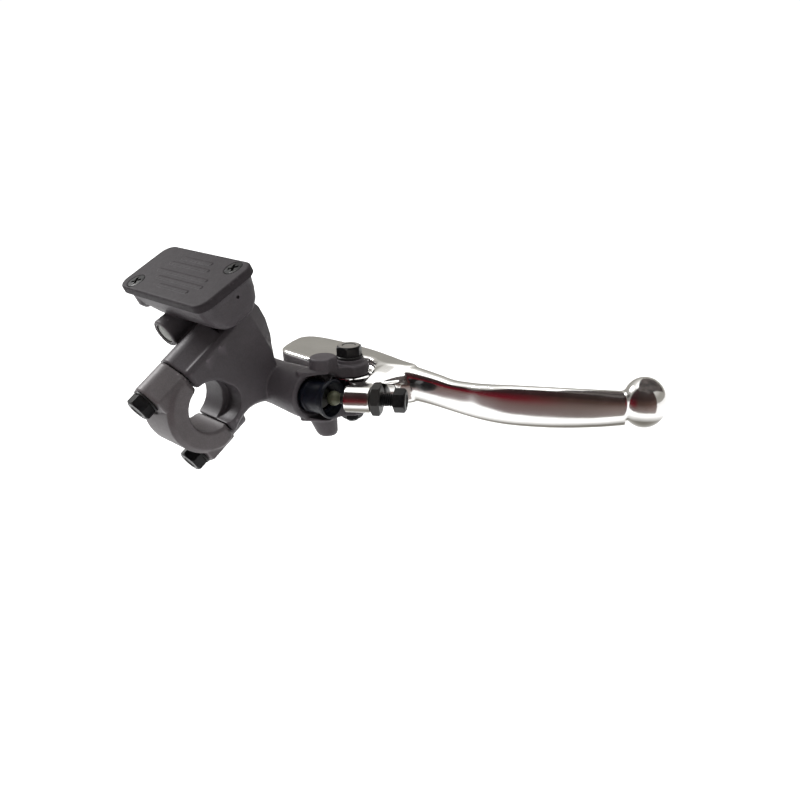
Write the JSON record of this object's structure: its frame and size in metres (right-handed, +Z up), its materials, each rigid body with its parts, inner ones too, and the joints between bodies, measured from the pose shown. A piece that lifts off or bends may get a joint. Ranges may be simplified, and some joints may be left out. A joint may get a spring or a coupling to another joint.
{
  "type": "motorcycle front brake master cylinder",
  "caption": "Handlebar brake master cylinder with tilted fluid reservoir, two-piece bar clamp, sight glass and a polished ball-end lever that pushes the piston.",
  "frame": {"origin": "centre of the handlebar bore, half way along the clamp", "axes": "+X outboard along the handlebar and the piston bore, +Y forward from the bar to the lever, +Z up along the lever pivot bolt"},
  "size_m": [0.204, 0.1439, 0.0884],
  "materials": {
    "cast_body": "satin grey paint on cast aluminium",
    "cast_lid": "satin grey paint on cast aluminium",
    "black_steel": "black oxide steel",
    "polished_alloy": "mirror polished",
    "rubber": "matt black rubber",
    "sight_glass": "clear, greenish",
    "zinc_steel": "zinc plated",
    "bare_alloy": "machined",
    "brass": "machined",
    "spring_steel": "bright wire",
    "dark_plastic": "matt"
  },
  "bodies": {
    "base": {"body_casting": "cast_body", "reservoir_cap": "cast_lid", "diaphragm": "rubber", "diaphragm_plate": "dark_plastic", "cap_screw_inboard": "black_steel", "cap_screw_outboard": "black_steel", "sight_lens": "sight_glass", "port_cover": "bare_alloy", "clamp_holder": "cast_body", "clamp_washer_upper": "black_steel", "clamp_washer_lower": "black_steel", "clamp_bolt_upper": "black_steel", "clamp_bolt_lower": "black_steel", "return_spring": "spring_steel", "stop_washer": "zinc_steel", "snap_ring": "spring_steel", "dust_boot": "rubber", "pivot_bolt": "black_steel", "pivot_washer": "zinc_steel", "pivot_nut": "black_steel"},
    "lever": {"lever": "polished_alloy", "pivot_bushing": "brass", "adjuster_nut": "black_steel", "adjuster_screw": "black_steel"},
    "piston": {"piston": "bare_alloy", "primary_cup": "rubber", "secondary_cup": "rubber"}
  },
  "joints": [
    {"name": "lever_pivot", "type": "hinge", "parent": "base", "child": "lever", "pos_m": [0.0345, 0.0562, 0], "axis": [0, 0, 1], "range_deg": [-28, 0], "stiffness_Nm_per_rad": 1.05, "springref_deg": 20.63},
    {"name": "piston_slide", "type": "slide", "parent": "base", "child": "piston", "axis": [1, 0, 0], "range_m": [-0.0084, 0], "deforming": ["return_spring", "dust_boot"]}
  ],
  "couplings": [
    {"joint": "piston_slide", "follows": "lever_pivot", "m_per_rad": 0.0167}
  ]
}
